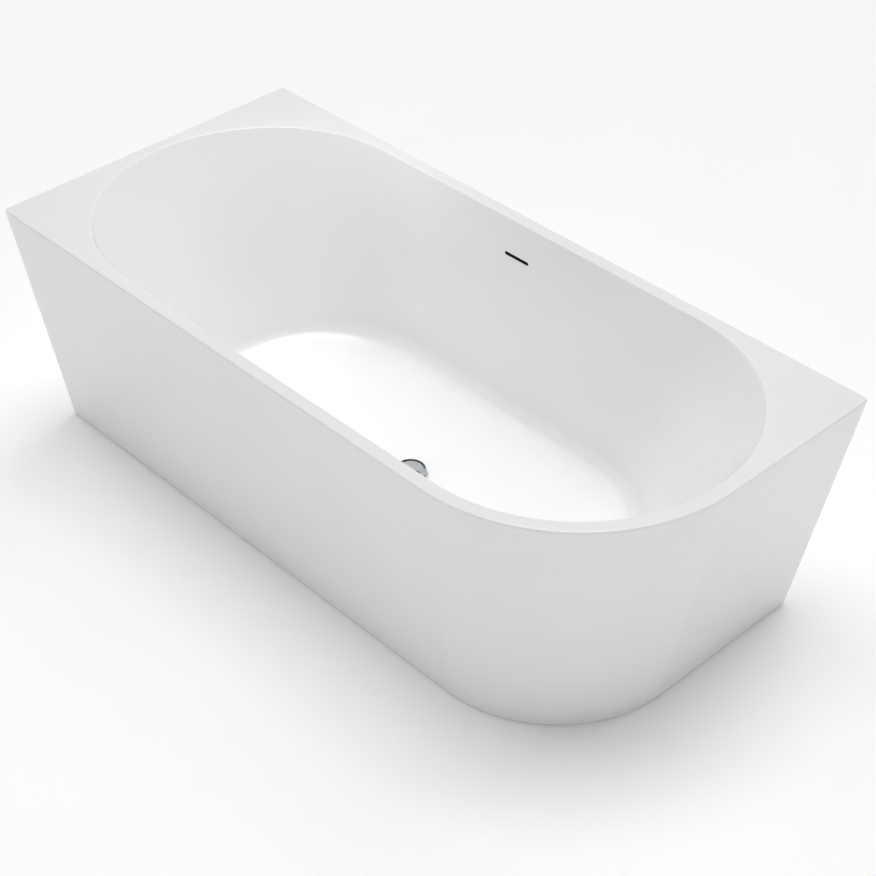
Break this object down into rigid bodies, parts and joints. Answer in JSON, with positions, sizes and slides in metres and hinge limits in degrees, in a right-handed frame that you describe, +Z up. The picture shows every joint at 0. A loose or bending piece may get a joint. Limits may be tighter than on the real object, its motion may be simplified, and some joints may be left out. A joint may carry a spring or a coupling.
{
  "type": "bathtub",
  "caption": "Skirted acrylic bath for a room corner: oval basin, flat rim, tapered apron with a round front corner, click-clack waste, slot overflow and levelling feet.",
  "frame": {"origin": "on the floor, under the middle of the rim's outline, on the waste's axis", "axes": "+X along the length towards the rounded end, +Y towards the long wall, +Z up"},
  "size_m": [1.7, 0.78, 0.6],
  "materials": {
    "acrylic": "glossy white sanitary acrylic",
    "laminate": "chopped-strand glass fibre in cured resin",
    "board": "raw particle board",
    "batten": "raw softwood plywood",
    "zinc_steel": "galvanised steel with spangle",
    "zinc_screw": "bright zinc plate",
    "rubber": "matt black rubber",
    "chrome": "polished chrome plate",
    "brass": "turned brass",
    "spring_steel": "drawn spring wire",
    "white_plastic": "white moulded polypropylene",
    "pipe_plastic": "extruded white waste pipe",
    "dark_plastic": "charcoal moulded plastic",
    "hose_plastic": "grey corrugated hose",
    "stainless": "stainless band",
    "foot_plastic": "black moulded nylon"
  },
  "bodies": {
    "bath": {"tub_shell": "acrylic", "skirt_shell": "acrylic", "basin_laminate": "laminate", "skirt_laminate": "laminate", "base_board": "board", "skirt_batten_front": "batten", "skirt_batten_back_left": "batten", "skirt_batten_back_right": "batten", "skirt_batten_left": "batten", "skirt_batten_right": "batten", "cradle_bar_left": "zinc_steel", "cradle_bar_right": "zinc_steel", "bar_screws": "zinc_screw", "skirt_bracket_1": "zinc_steel", "skirt_bracket_2": "zinc_steel", "skirt_bracket_3": "zinc_steel", "skirt_bracket_4": "zinc_steel", "bracket_screws": "zinc_screw", "weld_nuts": "zinc_screw", "lock_nuts": "zinc_screw", "waste_top_gasket": "rubber", "waste_flange": "chrome", "waste_bottom_gasket": "rubber", "waste_body": "white_plastic", "plug_guide": "brass", "plug_spring": "spring_steel", "dip_tube": "white_plastic", "trap_washer": "rubber", "trap_nut": "white_plastic", "trap_cup": "white_plastic", "outlet_pipe": "pipe_plastic", "outlet_ring": "rubber", "outlet_nut": "white_plastic", "overflow_seal": "rubber", "overflow_box": "dark_plastic", "overflow_hose": "hose_plastic", "hose_clip_top": "stainless", "hose_clip_bottom": "stainless"},
    "plug": {"plug_cap": "chrome", "plug_seal": "rubber", "plug_stem": "brass"},
    "pad_1": {"foot_pad_1": "foot_plastic"},
    "stud_1": {"foot_stud_1": "zinc_screw"},
    "pad_2": {"foot_pad_2": "foot_plastic"},
    "stud_2": {"foot_stud_2": "zinc_screw"},
    "pad_3": {"foot_pad_3": "foot_plastic"},
    "stud_3": {"foot_stud_3": "zinc_screw"},
    "pad_4": {"foot_pad_4": "foot_plastic"},
    "stud_4": {"foot_stud_4": "zinc_screw"}
  },
  "joints": [
    {"name": "plug_press", "type": "slide", "parent": "bath", "child": "plug", "axis": [0, 0, -1], "range_m": [0, 0.01], "stiffness_N_per_m": 800, "springref_m": -0.01, "deforming": ["plug_spring"]},
    {"name": "foot_1_lift", "type": "slide", "parent": "bath", "child": "pad_1", "axis": [0, 0, -1], "range_m": [0, 0.015]},
    {"name": "foot_1_turn", "type": "hinge", "parent": "pad_1", "child": "stud_1", "pos_m": [-0.44, -0.235, 0.1], "axis": [0, 0, -1], "range_deg": [0, 3086]},
    {"name": "foot_2_lift", "type": "slide", "parent": "bath", "child": "pad_2", "axis": [0, 0, -1], "range_m": [0, 0.015]},
    {"name": "foot_2_turn", "type": "hinge", "parent": "pad_2", "child": "stud_2", "pos_m": [-0.44, 0.3, 0.1], "axis": [0, 0, -1], "range_deg": [0, 3086]},
    {"name": "foot_3_lift", "type": "slide", "parent": "bath", "child": "pad_3", "axis": [0, 0, -1], "range_m": [0, 0.015]},
    {"name": "foot_3_turn", "type": "hinge", "parent": "pad_3", "child": "stud_3", "pos_m": [0.39, -0.235, 0.1], "axis": [0, 0, -1], "range_deg": [0, 3086]},
    {"name": "foot_4_lift", "type": "slide", "parent": "bath", "child": "pad_4", "axis": [0, 0, -1], "range_m": [0, 0.015]},
    {"name": "foot_4_turn", "type": "hinge", "parent": "pad_4", "child": "stud_4", "pos_m": [0.39, 0.3, 0.1], "axis": [0, 0, -1], "range_deg": [0, 3086]}
  ],
  "couplings": [
    {"joint": "foot_1_turn", "follows": "foot_1_lift", "rad_per_m": 3590.4},
    {"joint": "foot_2_turn", "follows": "foot_2_lift", "rad_per_m": 3590.4},
    {"joint": "foot_3_turn", "follows": "foot_3_lift", "rad_per_m": 3590.4},
    {"joint": "foot_4_turn", "follows": "foot_4_lift", "rad_per_m": 3590.4}
  ]
}
